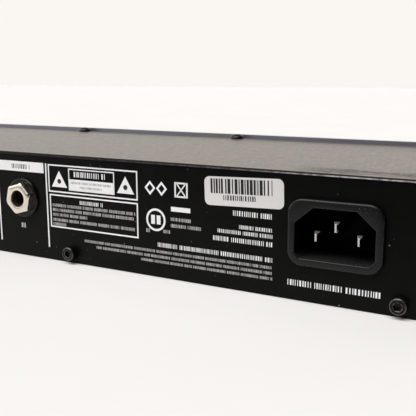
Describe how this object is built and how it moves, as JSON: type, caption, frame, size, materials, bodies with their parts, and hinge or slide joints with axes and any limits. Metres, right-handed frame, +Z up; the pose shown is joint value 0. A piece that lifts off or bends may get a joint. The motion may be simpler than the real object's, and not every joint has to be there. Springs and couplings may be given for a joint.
{
  "type": "rack effects unit",
  "caption": "One-unit-high rack effects unit: flat black steel case, wide front panel with knobs, keys and display, rear panel with audio jacks and mains inlet.",
  "frame": {"origin": "centre of the footprint, on the plane the case stands on", "axes": "+Z up, +X to the right when facing the front panel, -Y towards the front"},
  "size_m": [0.4826, 0.1226, 0.0443],
  "materials": {
    "bare_steel": "bright zinc plated",
    "black_screw": "black oxide steel",
    "blade_metal": "nickel plated brass",
    "board": "green solder mask",
    "can": "sleeved can",
    "case_coat": "fine textured black powder coat",
    "component": "moulded",
    "copper_winding": "taped winding",
    "cover_coat": "fine textured warm grey powder coat, lightly scuffed",
    "front_finish": "blue grey satin anodised",
    "gold": "gold plated contact",
    "inlet_plastic": "moulded",
    "key_plastic": "satin moulded",
    "knob_plastic": "satin moulded",
    "label_paper": "matt label stock",
    "lead_insulation": "PVC",
    "led": "diffused lens",
    "nickel": "satin nickel plate",
    "ribbon": "flat PVC ribbon",
    "washer_plastic": "glossy moulded",
    "window": "dark red filter"
  },
  "bodies": {
    "case": {"base_tray": "case_coat", "rear_panel": "case_coat", "top_cover": "cover_coat", "front_panel": "front_finish", "front_bracket": "bare_steel", "bracket_flanges": "bare_steel", "cover_screws": "black_screw", "rear_panel_screws": "black_screw", "front_panel_screws": "black_screw", "tray_screws": "black_screw", "board_standoffs": "bare_steel", "board_screws": "bare_steel", "front_board": "board", "main_board": "board", "power_board": "board", "pot_bodies": "component", "selector_bodies": "component", "pot_nuts": "bare_steel", "tact_switches": "component", "display_module": "component", "display_window": "window", "level_leds": "led", "power_switch_body": "inlet_plastic", "mains_inlet": "inlet_plastic", "inlet_blades": "blade_metal", "jack_bodies": "component", "jack_washers": "washer_plastic", "jack_nuts": "nickel", "midi_sockets": "component", "digital_sockets": "gold", "usb_socket": "bare_steel", "serial_label": "label_paper", "transformer": "copper_winding", "power_capacitors": "can", "heat_sink": "can", "mains_fuse": "nickel", "wiring_leads": "lead_insulation", "ribbon_cable": "ribbon", "board_chips": "component"},
    "input_control": {"input_knob": "knob_plastic", "input_shaft": "bare_steel"},
    "mix_control": {"mix_knob": "knob_plastic", "mix_shaft": "bare_steel"},
    "effect_selector_control": {"effect_selector_knob": "knob_plastic", "effect_selector_shaft": "bare_steel"},
    "time_control": {"time_knob": "knob_plastic", "time_shaft": "bare_steel"},
    "feedback_control": {"feedback_knob": "knob_plastic", "feedback_shaft": "bare_steel"},
    "reverb_selector_control": {"reverb_selector_knob": "knob_plastic", "reverb_selector_shaft": "bare_steel"},
    "decay_control": {"decay_knob": "knob_plastic", "decay_shaft": "bare_steel"},
    "tap_key": {"tap_button": "key_plastic"},
    "preset_up_key": {"preset_up_button": "key_plastic"},
    "preset_down_key": {"preset_down_button": "key_plastic"},
    "store_key": {"store_button": "key_plastic"},
    "bypass_key": {"bypass_button": "key_plastic"},
    "rocker": {"power_rocker": "inlet_plastic"}
  },
  "joints": [
    {"name": "input_turn", "type": "hinge", "parent": "case", "child": "input_control", "pos_m": [-0.16, -0.0518, 0.02185], "axis": [0, 1, 0], "range_deg": [-150, 150]},
    {"name": "mix_turn", "type": "hinge", "parent": "case", "child": "mix_control", "pos_m": [-0.124, -0.0518, 0.02185], "axis": [0, 1, 0], "range_deg": [-150, 150]},
    {"name": "effect_selector_turn", "type": "hinge", "parent": "case", "child": "effect_selector_control", "pos_m": [-0.062, -0.0518, 0.02185], "axis": [0, 1, 0], "continuous": true},
    {"name": "time_turn", "type": "hinge", "parent": "case", "child": "time_control", "pos_m": [-0.026, -0.0518, 0.02185], "axis": [0, 1, 0], "range_deg": [-150, 150]},
    {"name": "feedback_turn", "type": "hinge", "parent": "case", "child": "feedback_control", "pos_m": [0.006, -0.0518, 0.02185], "axis": [0, 1, 0], "range_deg": [-150, 150]},
    {"name": "reverb_selector_turn", "type": "hinge", "parent": "case", "child": "reverb_selector_control", "pos_m": [0.152, -0.0518, 0.02185], "axis": [0, 1, 0], "continuous": true},
    {"name": "decay_turn", "type": "hinge", "parent": "case", "child": "decay_control", "pos_m": [0.19, -0.0518, 0.02185], "axis": [0, 1, 0], "range_deg": [-150, 150]},
    {"name": "tap_press", "type": "slide", "parent": "case", "child": "tap_key", "axis": [0, 1, 0], "range_m": [0, 0.0006], "stiffness_N_per_m": 800, "springref_m": -0.0005},
    {"name": "preset_up_press", "type": "slide", "parent": "case", "child": "preset_up_key", "axis": [0, 1, 0], "range_m": [0, 0.0006], "stiffness_N_per_m": 800, "springref_m": -0.0005},
    {"name": "preset_down_press", "type": "slide", "parent": "case", "child": "preset_down_key", "axis": [0, 1, 0], "range_m": [0, 0.0006], "stiffness_N_per_m": 800, "springref_m": -0.0005},
    {"name": "store_press", "type": "slide", "parent": "case", "child": "store_key", "axis": [0, 1, 0], "range_m": [0, 0.0006], "stiffness_N_per_m": 800, "springref_m": -0.0005},
    {"name": "bypass_press", "type": "slide", "parent": "case", "child": "bypass_key", "axis": [0, 1, 0], "range_m": [0, 0.0006], "stiffness_N_per_m": 800, "springref_m": -0.0005},
    {"name": "rocker_tilt", "type": "hinge", "parent": "case", "child": "rocker", "pos_m": [-0.197, -0.0466, 0.02185], "axis": [1, 0, 0], "range_deg": [-18, 0]}
  ]
}
